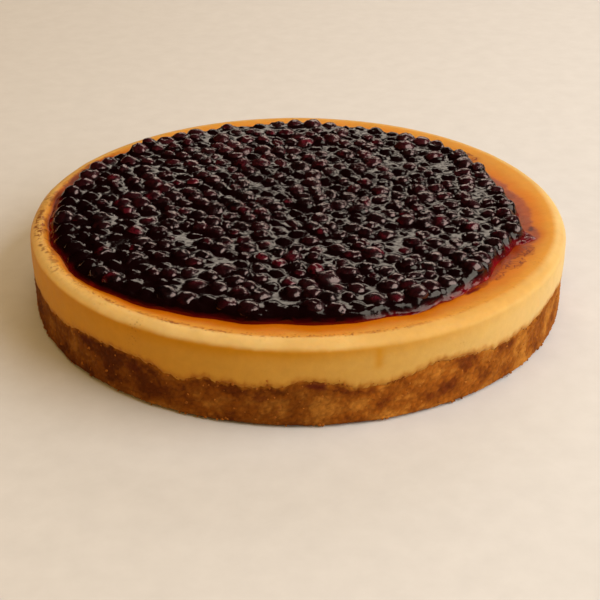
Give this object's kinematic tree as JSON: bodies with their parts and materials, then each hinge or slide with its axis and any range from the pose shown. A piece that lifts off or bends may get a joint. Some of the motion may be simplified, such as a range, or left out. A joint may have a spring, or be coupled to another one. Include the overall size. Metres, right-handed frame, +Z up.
{
  "type": "cheesecake",
  "caption": "Whole round baked cheesecake: a crumb crust with a ragged upper edge, a pale filling with a browned rim, and a glazed topping of small dark berries.",
  "frame": {"origin": "centre of the cake's flat foot, on the plane it rests on", "axes": "+Z up, the cake's own axis; -Y is the front in the picture and +X is to its right"},
  "size_m": [0.2294, 0.2294, 0.0409],
  "materials": {
    "crust": "coarse dry crumbs",
    "filling": "smooth satin, browned on the rim",
    "berry_topping": "wet gloss"
  },
  "bodies": {
    "root": {"crust": "crust", "filling": "filling", "berry_topping": "berry_topping"}
  },
  "joints": []
}
